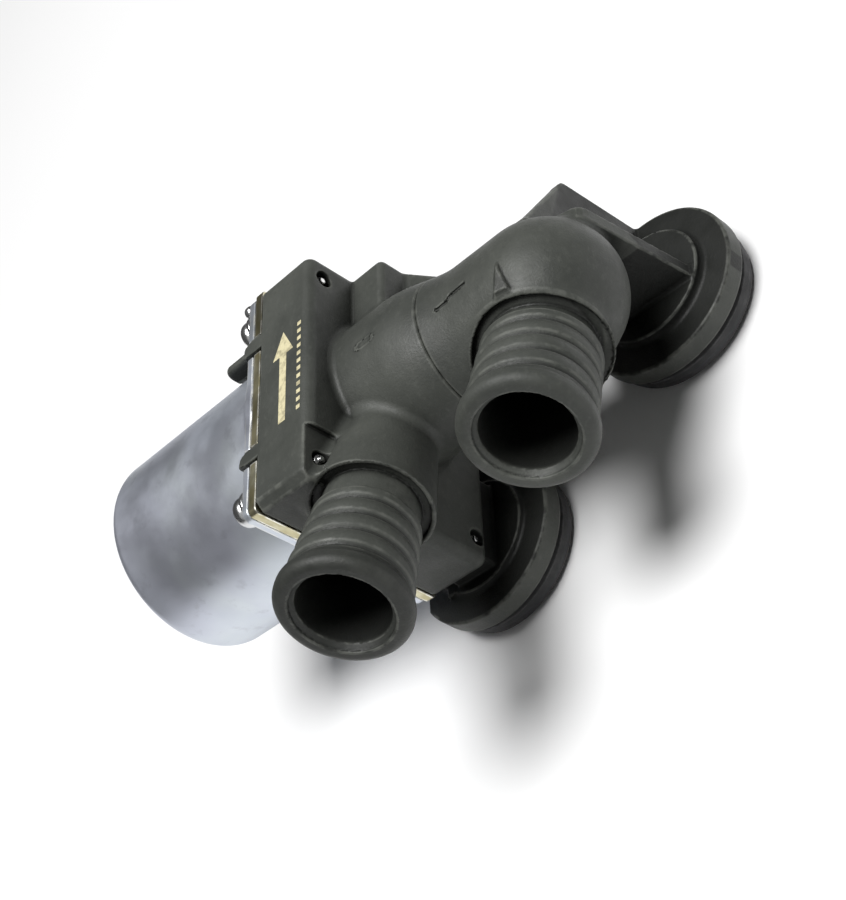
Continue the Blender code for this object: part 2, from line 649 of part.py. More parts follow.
SPRING_TURNS = 5
SPRING_START = CORE_FACE - 4.3
SPRING_END = PLUNGER_BACK + 4.3
WIRE_RADIUS = 0.35
COIL_RADIUS = 3.2
curve = bpy.data.curves.new("return_spring", "CURVE")
curve.dimensions = "3D"
curve.bevel_depth = WIRE_RADIUS * MM
curve.bevel_resolution = 0
curve.use_fill_caps = True
spline = curve.splines.new("POLY")
count = SPRING_TURNS * 10
spline.points.add(count)
for index, point in enumerate(spline.points):
    share = index / count
    angle = 2 * math.pi * SPRING_TURNS * share
    along = SPRING_START + (SPRING_END - SPRING_START) * share
    position = (along * MM, COIL_RADIUS * MM * math.cos(angle), COIL_RADIUS * MM * math.sin(angle))
    point.co = (*position, 1.0)
coil = bpy.data.objects.new("return_spring", curve)
coil.location = at(0, 0, 0)
parts.objects.link(coil)
curve.materials.append(material("return_spring_look", STEEL[1], STEEL[2], STEEL[3]))
coil.parent = root
coil.matrix_parent_inverse = root.matrix_world.inverted()
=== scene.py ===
"""Solenoid-operated coolant valve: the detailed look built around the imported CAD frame.

Shapes are closed-form distance fields in millimetres, measured from the solenoid axis:
x along the axis from the back of the body block, y across, w upward.
Each field is meshed where it is zero, and the piece stands for the CAD node of the same part.
"""

import math

import bpy
import numpy as np
from mathutils import Matrix, Vector


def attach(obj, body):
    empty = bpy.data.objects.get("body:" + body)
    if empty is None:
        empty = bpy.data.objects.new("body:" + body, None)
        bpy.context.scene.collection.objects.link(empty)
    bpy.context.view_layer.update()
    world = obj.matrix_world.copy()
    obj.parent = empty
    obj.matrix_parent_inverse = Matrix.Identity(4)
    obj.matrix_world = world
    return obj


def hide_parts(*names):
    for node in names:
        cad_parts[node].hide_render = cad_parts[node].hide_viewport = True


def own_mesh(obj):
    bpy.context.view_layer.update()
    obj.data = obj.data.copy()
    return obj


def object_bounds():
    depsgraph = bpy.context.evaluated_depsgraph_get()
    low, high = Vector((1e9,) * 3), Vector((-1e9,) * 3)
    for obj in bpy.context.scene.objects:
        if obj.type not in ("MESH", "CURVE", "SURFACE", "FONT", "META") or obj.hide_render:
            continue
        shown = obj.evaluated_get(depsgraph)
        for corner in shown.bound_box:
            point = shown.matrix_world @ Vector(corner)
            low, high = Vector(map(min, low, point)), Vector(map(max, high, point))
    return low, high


MM = 0.001
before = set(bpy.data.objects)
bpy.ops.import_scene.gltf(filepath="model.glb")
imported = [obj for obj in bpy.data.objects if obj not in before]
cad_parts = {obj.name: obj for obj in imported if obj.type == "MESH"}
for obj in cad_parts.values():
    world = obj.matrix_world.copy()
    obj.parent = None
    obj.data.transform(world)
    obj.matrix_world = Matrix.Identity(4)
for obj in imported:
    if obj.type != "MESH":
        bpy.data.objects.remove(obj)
cad_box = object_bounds()

# ---- driving dimensions, millimetres from the solenoid axis ----
DISC_CENTRES = {"lower": (6.2, -12.2), "upper": (49.5, 14.5)}
AXIS_HEIGHT = 32.0
ORIGIN = np.array([-DISC_CENTRES["lower"][0], -DISC_CENTRES["lower"][1], AXIS_HEIGHT])

BLOCK_LENGTH = 12.3
BLOCK_LOW_Y = -23.0
BLOCK_HIGH_Y = 23.5
BLOCK_HALF_W = 19.4
SPRING_START = -28.3                  # end of the spring in the fixed core
SPRING_LENGTH = 12.6
SPRING_RADIUS = 3.2
WIRE_RADIUS = 0.35
PAD_END = 19.5
CHAMBER_RADIUS = 13.5
CHAMBER_CENTRE = (1.6, 0.9)
WELD_X = 30.0
TUBE_RADIUS = 12.7
TUBE_CENTRE = (1.1, -0.9)
DOME_X = 45.5
TILT = math.radians(16.0)
HOSE = np.array([0.0, -math.cos(TILT), math.sin(TILT)])
BEAD_RADIUS = 10.5
BORE_RADIUS = 7.2
MOUTH_RADIUS = 7.9
INLET = {"base": (13.2, 0.0, 0.2), "length": 47.95, "collar": 25.9, "collar_radius": 10.1,
         "neck": (7.7, 9.0), "first": 8.6, "last": 9.8}
OUTLET = {"base": (43.9, 0.0, -2.8), "length": 29.3, "collar": 8.8, "collar_radius": 11.0,
          "neck": (10.3, 5.0), "first": 9.5, "last": 9.9}
GROOVES = (16.1, 12.4, 8.7, 5.0)      # distance of each groove from the mouth
GROOVE_DEPTH = 0.5
GROOVE_HALF_WIDTH = 0.8
RIB_CROWN = 0.16                      # how far a rib's middle stands above its sides
FIRST_RIB = 18.4
SHANK_STEP = 0.8                      # drop from the first rib to the plain shank
BEAD_LENGTH = 3.7
SCREWS = [(0.4 + sy * 18.8, -0.4 + sw * 16.4) for sy in (1, -1) for sw in (1, -1)]
SCREW_HOLE = 1.6
SEAT_RADIUS = 6.5                     # hole in the chamber's end that the poppet closes
ELBOW_BORE = 10.3
TAB_SPANS = ((10.3, 13.6), (-12.9, -9.9))
DISC_RADIUS = 15.6
WELD_EASE = 0.4                       # rounding beside the weld line
WITNESS_MARK = [(33.7, -0.5), (36.3, -0.2), (36.5, 0.3), (39.7, 0.6)]   # scribed on the tube's top
RECESS_LIMIT = 1.2                    # deepest cut into the wall around a nipple
GUSSET_ANGLE = 78.0                   # around the outlet nipple, from the solenoid axis
DISC_FRONT = -23.6
DISC_BACK = -27.4
HUB_RADIUS = 10.6
LOWER_HUB_TOP = -22.7
UPPER_HUB_TOP = -21.8
WEB_FOOT = -24.4                      # where the fin, the shelf and the foot end in a disc
FIN_X = 46.7
SHELF_Y = 11.1
CHAMBER_BORE = 10.2
GLAND_RADIUS = 4.9                    # pocket for the rod's bush and lip seal
ROD_HOLE = 1.95
SCREW_PILOT = 1.55
SEAL_GROOVE = (7.9, 10.1)             # inner and outer radius of the body seal's groove
SCREW_THREAD = (1.24, 0.14, 0.95)     # mean radius, half depth and pitch
WASHER_RADIUS = 3.0
SCREW_HEAD_RADIUS = 2.7
CONNECTOR_BACK = -15.4
SADDLE_RADIUS = 22.8                  # of the connector's shoulder, around the solenoid axis
PIN_OFFSET = 3.0                      # of each terminal pin from the connector's middle
RIVET_PLACE = (22.9, 17.6)
PLATE = (-2.1, -0.3)                  # back and front face of the yoke plate
FLANGE = (-3.9, -2.4)                 # back and front face of the can's flange
PLATE_SPAN = (-23.1, 24.0, 19.2)      # low y, high y, half width across w
HEAD_SEAT = -4.2
CAN_RADIUS = 19.0
CAN_END = -43.2
CAN_WALL = 1.5


# ---- distance fields ----

def union(*fields):
    made = fields[0]
    for other in fields[1:]:
        made = np.minimum(made, other)
    return made


def fillet(a, b, radius):
    """Union of two fields with a round fillet between them."""
    inward = np.hypot(np.maximum(radius - a, 0), np.maximum(radius - b, 0))
    return np.maximum(radius, np.minimum(a, b)) - inward


def carve(a, b, radius=0.0):
    """Field a less field b, with a rounded rim."""
    if radius == 0.0:
        return np.maximum(a, -b)
    outward = np.hypot(np.maximum(radius + a, 0), np.maximum(radius - b, 0))
    return np.minimum(-radius, np.maximum(a, -b)) + outward


def capped(side, depth, half, ease):
    """Closed shape from a side distance and a depth measured from its middle, with eased rims."""
    a = side + ease
    b = np.abs(depth) - half + ease
    return np.minimum(np.maximum(a, b), 0) + np.hypot(np.maximum(a, 0), np.maximum(b, 0)) - ease


def drum(rho, along, radius, start, end, ease=0.0):
    return capped(rho - radius, along - (start + end) / 2, (end - start) / 2, ease)


def slab(p, low, high, ease=0.0):
    low, high = np.array(low, float), np.array(high, float)
    q = np.abs(p - (low + high) / 2) - (high - low) / 2 + ease
    return np.minimum(q.max(1), 0) + np.sqrt((np.maximum(q, 0) ** 2).sum(1)) - ease


def polygon(u, v, corners):
    """Signed distance to a closed outline of (u, v) corners."""
    best = np.full(u.shape, 1e9)
    inside = np.zeros(u.shape, bool)
    for (u0, v0), (u1, v1) in zip(corners, corners[1:] + corners[:1]):
        du, dv = u1 - u0, v1 - v0
        share = np.clip(((u - u0) * du + (v - v0) * dv) / (du * du + dv * dv), 0, 1)
        best = np.minimum(best, (u - u0 - du * share) ** 2 + (v - v0 - dv * share) ** 2)
        if dv:
            inside ^= ((v0 > v) != (v1 > v)) & (u < u0 + du * (v - v0) / dv)
    return np.where(inside, -1.0, 1.0) * np.sqrt(best)


def radius_from(p, y=0.0, w=0.0):
    return np.hypot(p[:, 1] - y, p[:, 2] - w)


def hose_frame(p, base):
    """Distance along and away from a hose nipple's axis."""
    q = p - np.array(base)
    along = q @ HOSE
    return along, np.sqrt(np.maximum((q ** 2).sum(1) - along ** 2, 0))


def slab_ring(rho, along, inner, outer, start, end):
    """Square-cut ring between two radii and two places on an axis."""
    side = np.abs(rho - (inner + outer) / 2) - (outer - inner) / 2
    return np.maximum(side, np.abs(along - (start + end) / 2) - (end - start) / 2)


# ---- hose nipples ----

def neck_of(p, n):
    """Tapered neck that ends in a sharp collar."""
    t, rho = hose_frame(p, n["base"])
    neck_radius = np.interp(t, (n["neck"][1], n["collar"]), (n["neck"][0], n["collar_radius"]))
    slope = (n["collar_radius"] - n["neck"][0]) / (n["collar"] - n["neck"][1])
    neck = (rho - neck_radius) / math.hypot(1, slope)
    return capped(neck, t - n["collar"] / 2, n["collar"] / 2, 0.12)


def ribs_of(p, n):
    """Broad ribs parted by narrow grooves, a plain shank behind them and a rounded bead at the mouth."""
    t, rho = hose_frame(p, n["base"])
    length = n["length"]
    back = length - t
    crest = np.interp(back, (GROOVES[-1], FIRST_RIB), (n["last"], n["first"]))
    pitch = GROOVES[0] - GROOVES[1]
    crown = RIB_CROWN * np.cos(2 * math.pi * (back - GROOVES[-1] + pitch / 2) / pitch)
    crest = crest - RIB_CROWN + np.where(back < FIRST_RIB, crown, 0)
    for groove in GROOVES:
        near = np.clip(np.abs(back - groove) / GROOVE_HALF_WIDTH, 0, 1)
        crest = crest - GROOVE_DEPTH * (1 - near * near * (3 - 2 * near))
    shank = np.clip((back - FIRST_RIB + 0.5) / 0.9, 0, 1)
    crest = crest - (crest - n["first"] + SHANK_STEP) * shank * shank * (3 - 2 * shank)
    ribs = capped((rho - crest) * 0.92, t - (length - 1.5) / 2, (length - 1.5) / 2, 0.1)
    bead = drum(rho, t, BEAD_RADIUS, length - BEAD_LENGTH, length, 1.55)
    bead = np.maximum(bead, drum(rho, t, BEAD_RADIUS, length - BEAD_LENGTH - 0.9, length + 0.2, 0.3))
    return fillet(ribs, bead, 0.35)


def add_nipple(shape, p, n, blend, lip, depth):
    """Join a nipple to a shape: blended neck, a recess inside the collar's lip, then the ribs."""
    t, rho = hose_frame(p, n["base"])
    low, high = n["collar"] - depth, n["collar"] + 6
    recess = slab_ring(rho, t, n["first"] - 1.2, n["collar_radius"] - lip, low, high)
    shape = fillet(shape, neck_of(p, n), blend)
    shape = carve(shape, np.maximum(recess, -RECESS_LIMIT - shape), 0.4)
    return fillet(shape, ribs_of(p, n), 0.15)


def bore(p, n):
    """The nipple's bore with an eased mouth, as a field to carve away."""
    t, rho = hose_frame(p, n["base"])
    flare = np.clip((t - n["length"] + 1.2) / 0.8, 0, 1) * (MOUTH_RADIUS - BORE_RADIUS)
    return np.maximum((rho - BORE_RADIUS - flare) * 0.75, -t)


def mounting_disc(p, centre, top):
    """Moulded flange with a hub and the spigot that carries the rubber ring."""
    rho = np.hypot(p[:, 0] - centre[0], p[:, 1] - centre[1])
    disc = drum(rho, p[:, 2], DISC_RADIUS, DISC_BACK, DISC_FRONT, 0.55)
    spigot = drum(rho, p[:, 2], 5.0, -AXIS_HEIGHT, DISC_BACK + 1, 0.5)
    hub = drum(rho, p[:, 2], HUB_RADIUS - 0.2, DISC_FRONT - 1, top, 0.3)
    return fillet(union(disc, spigot), hub, 0.9)


# ---- valve body ----

def tab(p, low_y, high_y):
    """Snap tab, flush with the block's face, that hooks over the yoke plate and the can flange."""
    tip = np.clip((p[:, 0] + 5.6) / 3.0, 0, 1)
    low = low_y + 0.2 + 0.9 * (1 - tip) ** 2
    high = high_y - 1.5 * (1 - tip) ** 1.5
    arm = np.abs(p[:, 1] - (low + high) / 2) - (high - low) / 2
    corners = [(3, 18.5), (3, 19.4), (-4.4, 19.38), (-5.3, 18.9), (-5.5, 17.4), (-4.5, 17.3), (-4.3, 18.6)]
    flat = polygon(p[:, 0], p[:, 2], corners)
    return np.maximum(flat, arm * 0.8)


def pipe_side(p):
    """Distance from the run of the chamber and the elbow's tube, whose centre and radius ease over."""
    share = np.clip((p[:, 0] - 22) / 14, 0, 1)
    share = share * share * (3 - 2 * share)
    y = CHAMBER_CENTRE[0] + (TUBE_CENTRE[0] - CHAMBER_CENTRE[0]) * share
    w = CHAMBER_CENTRE[1] + (TUBE_CENTRE[1] - CHAMBER_CENTRE[1]) * share
    radius = CHAMBER_RADIUS + (TUBE_RADIUS - CHAMBER_RADIUS) * share
    return np.hypot(p[:, 1] - y, p[:, 2] - w) - radius


def valve_body(p):
    block = slab(p, (-4, BLOCK_LOW_Y, -BLOCK_HALF_W), (BLOCK_LENGTH, BLOCK_HIGH_Y, BLOCK_HALF_W), 1.9)
    block = carve(block, p[:, 0], 0.12)
    chamfer = (p[:, 2] - p[:, 1] - (BLOCK_HALF_W - BLOCK_LOW_Y - 1.5)) / math.sqrt(2)
    block = carve(block, -chamfer, 0.12)
    corner = slab(p, (11.4, -27, 12.6), (16, -12.9, 22), 0.1)
    block = carve(block, corner, 0.1)
    pad = slab(p, (6, 2.0, -9.8), (PAD_END, BLOCK_HIGH_Y - 0.4, 9.8), 1.3)
    shape = fillet(block, pad, 0.5)
    chamber = capped(pipe_side(p), p[:, 0] - (6 + WELD_X) / 2, (WELD_X - 6) / 2, WELD_EASE)
    shape = fillet(shape, chamber, 1.1)
    flat = polygon(p[:, 0], p[:, 1], [(10, 8), (29, 8), (29, 14.2), (20.0, 21.6), (18.8, 21.9), (10, 21.9)])
    web = capped(flat - 0.8, p[:, 2], 4.0, 0.8)
    shape = fillet(shape, web, 1.2)
    shape = add_nipple(shape, p, INLET, 1.6, 0.8, 0.7)
    oval = np.hypot((p[:, 0] - 20.0) / 2.0, (p[:, 1] - 0.7) / 0.75) - 1.0
    raised = np.maximum(np.abs(oval * 0.75) - 0.15, 12.0 - p[:, 2])
    shape = np.minimum(shape, np.maximum(shape - 0.07, raised))
    link = slab(p, (1.8, -20.4, -24.2), (10.6, -4.1, -15.0), 0.4)
    corners = [(-1.2, -21.0), (11.6, -21.0), (14.3, -18.9), (14.3, -12), (-1.2, -12)]
    flat = polygon(p[:, 0], p[:, 1], corners)
    foot = capped(flat, p[:, 2] - WEB_FOOT, 1.7, 0.3)
    shape = fillet(shape, link, 0.4)
    shape = fillet(shape, fillet(mounting_disc(p, DISC_CENTRES["lower"], LOWER_HUB_TOP), foot, 0.2), 0.5)
    for low_y, high_y in TAB_SPANS:
        shape = union(shape, tab(p, low_y, high_y))
    wet = drum(radius_from(p, 1.2, 0.6), p[:, 0], CHAMBER_BORE, 6.4, 27.6, 1.0)
    throat = drum(radius_from(p), p[:, 0], SEAT_RADIUS, 20, 40)
    inside = union(fillet(wet, bore(p, INLET), 0.8), throat)
    gland = drum(radius_from(p), p[:, 0], GLAND_RADIUS, -2, 5.2)
    rod_hole = drum(radius_from(p), p[:, 0], ROD_HOLE, 3, 9)
    groove = drum(radius_from(p), p[:, 0], SEAL_GROOVE[1], -1, 1.5)
    groove = np.maximum(groove, SEAL_GROOVE[0] - radius_from(p))
    shape = carve(shape, union(inside, gland, rod_hole, groove), 0.15)
    for y, w in SCREWS:
        hole = drum(radius_from(p, y, w), p[:, 0], SCREW_PILOT, -2, BLOCK_LENGTH + 0.5, 0.2)
        shape = carve(shape, hole, 0.15)
    return shape


def gusset(p):
    """Small triangular rib between the outlet's collar and the tube, sharpest at its back."""
    t = hose_frame(p, OUTLET["base"])[0]
    q = p - np.array(OUTLET["base"])
    side = np.array((1.0, 0.0, 0.0))
    top = np.cross(HOSE, side)
    angle = math.radians(GUSSET_ANGLE)
    outward = q @ (math.cos(angle) * side + math.sin(angle) * top)
    across = q @ (math.cos(angle) * top - math.sin(angle) * side)
    flat = polygon(outward, t, [(9.0, 8.7), (12.2, 8.7), (14.5, 5.0), (14.7, 4.0), (9.0, 4.0)])
    flank = (np.abs(across) - 0.3 - (t - 4.0) * 0.26 + (outward - 11.0) * 0.12) * 0.9
    return carve(flat, -flank, 0.4)


def stroke(u, v, points):
    """Distance to a line through a few points."""
    best = np.full(u.shape, 1e9)
    for (u0, v0), (u1, v1) in zip(points, points[1:]):
        du, dv = u1 - u0, v1 - v0
        share = np.clip(((u - u0) * du + (v - v0) * dv) / (du * du + dv * dv), 0, 1)
        best = np.minimum(best, np.hypot(u - u0 - du * share, v - v0 - dv * share))
    return best


def outlet_elbow(p):
    side = radius_from(p, *TUBE_CENTRE)
    start, end = WELD_X + 0.02, DOME_X + 4
    tube = capped(pipe_side(p), p[:, 0] - (start + end) / 2, (end - start) / 2, WELD_EASE)
    tube = np.maximum(tube, p[:, 0] - DOME_X)
    dome = np.sqrt(side ** 2 + np.maximum(p[:, 0] - DOME_X, 0) ** 2) - TUBE_RADIUS
    dome = np.maximum(dome, DOME_X - 4 - p[:, 0])
    shape = union(tube, dome)
    shape = fillet(shape, gusset(p), 0.35)
    shape = add_nipple(shape, p, OUTLET, 1.2, 0.5, 0.2)
    scribe = np.maximum(stroke(p[:, 0], p[:, 1], WITNESS_MARK) - 0.26, 8.0 - p[:, 2])
    shape = carve(shape, np.maximum(scribe, -0.35 - shape))
    corner = [(27.3 + 1.3 * math.cos(a), -5.6 + 1.3 * math.sin(a)) for a in np.linspace(1.3, 0.1, 4)]
    flat = polygon(p[:, 1], p[:, 2], [(10.4, 2), (12.6, 5.6)] + corner + [(30.1, WEB_FOOT), (10.4, WEB_FOOT)])
    fin = capped(flat, p[:, 0] - FIN_X, 1.3, 0.45)
    corner = [(53.6 + 2.4 * math.cos(a), -0.2 + 2.4 * math.sin(a)) for a in np.linspace(1.3, 0.1, 4)]
    flat = polygon(p[:, 0], p[:, 2], [(42, 2.2), (53.4, 2.2)] + corner + [(58.8, WEB_FOOT), (42, WEB_FOOT)])
    shelf = capped(flat, p[:, 1] - SHELF_Y, 1.15, 0.3)
    shape = fillet(shape, fillet(fin, shelf, 0.8), 1.6)
    shape = fillet(shape, mounting_disc(p, DISC_CENTRES["upper"], UPPER_HUB_TOP), 0.7)
    space = drum(side, p[:, 0], ELBOW_BORE, WELD_X - 2, DOME_X + 1)
    inner_dome = np.sqrt(side ** 2 + np.maximum(p[:, 0] - DOME_X, 0) ** 2) - ELBOW_BORE
    space = union(space, np.maximum(inner_dome, WELD_X - 2 - p[:, 0]))
    return carve(shape, fillet(space, bore(p, OUTLET), 0.8), 0.15)


# ---- painted shade: where the plastic is drawn darker, standing in for shadow ----

def bore_shade(p, n):
    # painted shade inside the nipple's bore
    t, rho = hose_frame(p, n["base"])
    wall = np.clip((BORE_RADIUS + 0.45 - rho) / 0.3, 0, 1)
    return wall * np.clip(n["length"] - 0.8 - t, 0, 1)


def disc_shade(p):
    """Painted shadow on the mounting discs and hubs, but not on the discs' rims."""
    return np.clip((-14 - p[:, 2]) / 5, 0, 1) * (p[:, 2] > DISC_FRONT - 0.4)


def body_shade(p):
    t = hose_frame(p, INLET["base"])[0]
    # painted shade on the inlet's bead, and painted shadow on the discs under the block
    bead = 0.6 * np.clip((t - INLET["length"] + 5) / 1.5, 0, 1)
    below = disc_shade(p) * (p[:, 2] < -BLOCK_HALF_W - 0.5)
    return np.maximum(bore_shade(p, INLET), np.maximum(bead, below))


def elbow_shade(p):
    outside = radius_from(p, *TUBE_CENTRE) > TUBE_RADIUS + 0.4
    # painted shade on the shelf's near face, on the gusset rib and on the disc in the body's shadow
    shelf = np.clip(1.9 - p[:, 2], 0, 1) * (np.abs(p[:, 1] - SHELF_Y) < 1.4)
    rib = 0.6 * np.clip(1 - np.abs(gusset(p)) / 0.25, 0, 1)
    made = np.maximum(shelf, disc_shade(p)) * outside
    return np.maximum(np.maximum(made, rib), bore_shade(p, OUTLET))


# ---- meshing a field ----

def gradient(field, p, step=0.02):
    made = np.empty_like(p)
    for axis in range(3):
        ahead = p.copy()
        ahead[:, axis] += step
        behind = p.copy()
        behind[:, axis] -= step
        made[:, axis] = (field(ahead) - field(behind)) / (2 * step)
    return made


def curvature(field, p, step):
    """Sum of the surface's two curvatures: above zero on an outer edge, below zero in a hollow."""
    total = -6 * field(p)
    for axis in range(3):
        for sign in (1, -1):
            shifted = p.copy()
            shifted[:, axis] += sign * step
            total += field(shifted)
    return total / step ** 2


BRICK = 8


def sampled(field, low, high, pitch):
    """Field values on a grid, worked out only in the bricks that the surface may cross."""
    bricks = np.ceil((high - low) / pitch / BRICK).astype(int)
    cells = np.stack(np.meshgrid(*[np.arange(n) for n in bricks], indexing="ij"), -1).reshape(-1, 3)
    centre = field(low + (cells + 0.5) * BRICK * pitch)
    grid = np.sign(centre).reshape(bricks)
    for axis in range(3):
        grid = np.repeat(grid, BRICK, axis)
    grid = np.pad(grid, ((0, 1),) * 3, mode="edge").astype(np.float32)
    steps = np.arange(BRICK + 1)
    offsets = np.stack(np.meshgrid(steps, steps, steps, indexing="ij"), -1).reshape(-1, 3)
    near = cells[np.abs(centre) < BRICK * pitch]
    for start in range(0, len(near), 500):
        index = (near[start:start + 500, None, :] * BRICK + offsets[None]).reshape(-1, 3)
        grid[tuple(index.T)] = field(low + index * pitch)
    return grid


def skin(field, low, high, pitch):
    """Surface-net vertices and quads of the field's zero level, in millimetres."""
    grid = sampled(field, low, high, pitch)
    inside = grid < 0
    size = np.array(grid.shape) - 1
    corners = [np.array((i, j, k)) for i in (0, 1) for j in (0, 1) for k in (0, 1)]
    count = np.zeros(size, np.int8)
    for c in corners:
        count += inside[c[0]:c[0] + size[0], c[1]:c[1] + size[1], c[2]:c[2] + size[2]]
    active = np.argwhere((count > 0) & (count < 8))
    number = np.full(size, -1, np.int64)
    number[tuple(active.T)] = np.arange(len(active))
    total = np.zeros((len(active), 3))
    hits = np.zeros(len(active))
    for axis in range(3):
        step = np.eye(3, dtype=int)[axis]
        for c in corners:
            if c[axis]:
                continue
            a = grid[tuple((active + c).T)].astype(float)
            b = grid[tuple((active + c + step).T)].astype(float)
            crossing = (a < 0) != (b < 0)
            share = np.where(crossing, a / np.where(a == b, 1, a - b), 0)
            total += np.where(crossing[:, None], active + c + step * share[:, None], 0)
            hits += crossing
    points = low + total / hits[:, None] * pitch
    quads = []
    for axis in range(3):
        step = np.eye(3, dtype=int)[axis]
        u, v = np.eye(3, dtype=int)[(axis + 1) % 3], np.eye(3, dtype=int)[(axis + 2) % 3]
        near = inside[tuple(slice(0, n - s) for n, s in zip(inside.shape, step))]
        far = inside[tuple(slice(s, n) for n, s in zip(inside.shape, step))]
        edge = np.argwhere(near != far)
        edge = edge[((edge @ u) > 0) & ((edge @ v) > 0) & ((edge @ u) < size @ u) & ((edge @ v) < size @ v)]
        ring = [number[tuple((edge - o).T)] for o in (u + v, v, 0 * u, u)]
        ring = np.stack(ring, 1)
        outward = near[tuple(edge.T)]
        quads.append(np.where(outward[:, None], ring, ring[:, ::-1]))
    for _ in range(3):
        slope = gradient(field, points)
        push = field(points) / np.maximum((slope ** 2).sum(1), 0.3)
        points = points - slope * np.clip(push, -pitch / 2, pitch / 2)[:, None]
    return points, np.concatenate(quads)


def piece(name, field, low, high, pitch, look, body="valve", nodes=(), shift=(0, 0, 0), shade=None):
    """One shown piece: a field's surface, its material, and the CAD body and nodes it goes with."""
    points, quads = skin(field, np.array(low, float), np.array(high, float), pitch)
    slope = gradient(field, points)
    slope /= np.maximum(np.linalg.norm(slope, axis=1), 1e-6)[:, None]
    bend = curvature(field, points, 0.35)
    mesh = bpy.data.meshes.new(name)
    mesh.vertices.add(len(points))
    mesh.vertices.foreach_set("co", ((points + ORIGIN + np.array(shift)) * MM).astype(np.float32).ravel())
    mesh.loops.add(quads.size)
    mesh.loops.foreach_set("vertex_index", quads.ravel().astype(np.int32))
    mesh.polygons.add(len(quads))
    mesh.polygons.foreach_set("loop_start", np.arange(0, quads.size, 4, dtype=np.int32))
    mesh.update(calc_edges=True)
    mesh.validate()
    mesh.shade_smooth()
    edge = mesh.attributes.new("edge", "FLOAT", "POINT")
    edge.data.foreach_set("value", bend.astype(np.float32))
    # per-vertex painted shade, read by the plastic's material
    if shade:
        dark = mesh.attributes.new("shade", "FLOAT", "POINT")
        dark.data.foreach_set("value", shade(points).astype(np.float32))
    if len(mesh.vertices) == len(slope):
        mesh.normals_split_custom_set_from_vertices([tuple(n) for n in slope])
    made = bpy.data.objects.new(name, mesh)
    bpy.context.scene.collection.objects.link(made)
    mesh.materials.append(look)
    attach(made, body)
    if nodes:
        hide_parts(*nodes)
    print(name, len(points))
    return made


# ---- materials ----

class Look:
    """A procedural node material, put together from the inside out."""

    def __init__(self, name):
        self.material = bpy.data.materials.new(name)
        self.material.use_nodes = True
        self.tree = self.material.node_tree
        self.shader = self.tree.nodes["Principled BSDF"]
        self.place = self.add("ShaderNodeTexCoord").outputs["Object"]

    def add(self, kind, inputs=None, **settings):
        made = self.tree.nodes.new(kind)
        for key, value in settings.items():
            setattr(made, key, value)
        for key, value in (inputs or {}).items():
            self.feed(made.inputs[key], value)
        return made

    def feed(self, socket, value):
        if isinstance(value, bpy.types.NodeSocket):
            self.tree.links.new(value, socket)
        else:
            socket.default_value = value

    def noise(self, scale, detail=4.0, roughness=0.55, stretch=None, distortion=0.0):
        place = self.place
        if stretch:
            place = self.add("ShaderNodeMapping", {"Vector": place, "Scale": stretch}).outputs[0]
        settings = {"Vector": place, "Scale": scale, "Detail": detail}
        settings.update({"Roughness": roughness, "Distortion": distortion})
        return self.add("ShaderNodeTexNoise", settings).outputs["Fac"]

    def remap(self, value, low, high, to_low=0.0, to_high=1.0):
        settings = {"Value": value, "From Min": low, "From Max": high, "To Min": to_low, "To Max": to_high}
        made = self.add("ShaderNodeMapRange", settings, interpolation_type="SMOOTHSTEP", clamp=True)
        return made.outputs["Result"]

    def math(self, operation, a, b):
        made = self.add("ShaderNodeMath", operation=operation)
        self.feed(made.inputs[0], a)
        self.feed(made.inputs[1], b)
        return made.outputs[0]

    def mix(self, share, a, b):
        made = self.add("ShaderNodeMix", data_type="RGBA")
        self.feed(made.inputs["Factor"], share)
        for name, value in (("A", a), ("B", b)):
            socket = next(s for s in made.inputs if s.name == name and s.type == "RGBA")
            self.feed(socket, value if isinstance(value, bpy.types.NodeSocket) else (*value, 1.0))
        return next(s for s in made.outputs if s.type == "RGBA")

    def edges(self, low, high):
        """Share of wear: one on outer edges, zero on flat faces, broken up by noise."""
        value = self.add("ShaderNodeAttribute", attribute_name="edge").outputs["Fac"]
        worn = self.remap(value, low, high)
        return self.math("MULTIPLY", worn, self.remap(self.noise(420, 5), 0.35, 0.62))

    def hollows(self, low, high):
        # share of painted shade in creases: one in a hollow, zero on flat faces
        value = self.add("ShaderNodeAttribute", attribute_name="edge").outputs["Fac"]
        return self.remap(self.math("MULTIPLY", value, -1.0), low, high)

    def shelter(self, reach, low, high):
        """Share of painted shade from ambient occlusion: one deep in a recess, zero on open surfaces."""
        made = self.add("ShaderNodeAmbientOcclusion", {"Distance": reach}, samples=8)
        return self.math("SUBTRACT", 1.0, self.remap(made.outputs["AO"], low, high))

    def bump(self, height, distance, strength=1.0, under=None):
        inputs = {"Height": height, "Distance": distance, "Strength": strength}
        if under is not None:
            inputs["Normal"] = under
        return self.add("ShaderNodeBump", inputs).outputs["Normal"]

    def finish(self, colour, roughness, metallic=0.0, normal=None, **others):
        self.feed(self.shader.inputs["Base Color"], colour)
        self.feed(self.shader.inputs["Roughness"], roughness)
        self.feed(self.shader.inputs["Metallic"], metallic)
        if normal is not None:
            self.feed(self.shader.inputs["Normal"], normal)
        for key, value in others.items():
            self.feed(self.shader.inputs[key.replace("_", " ")], value)
        return self.material


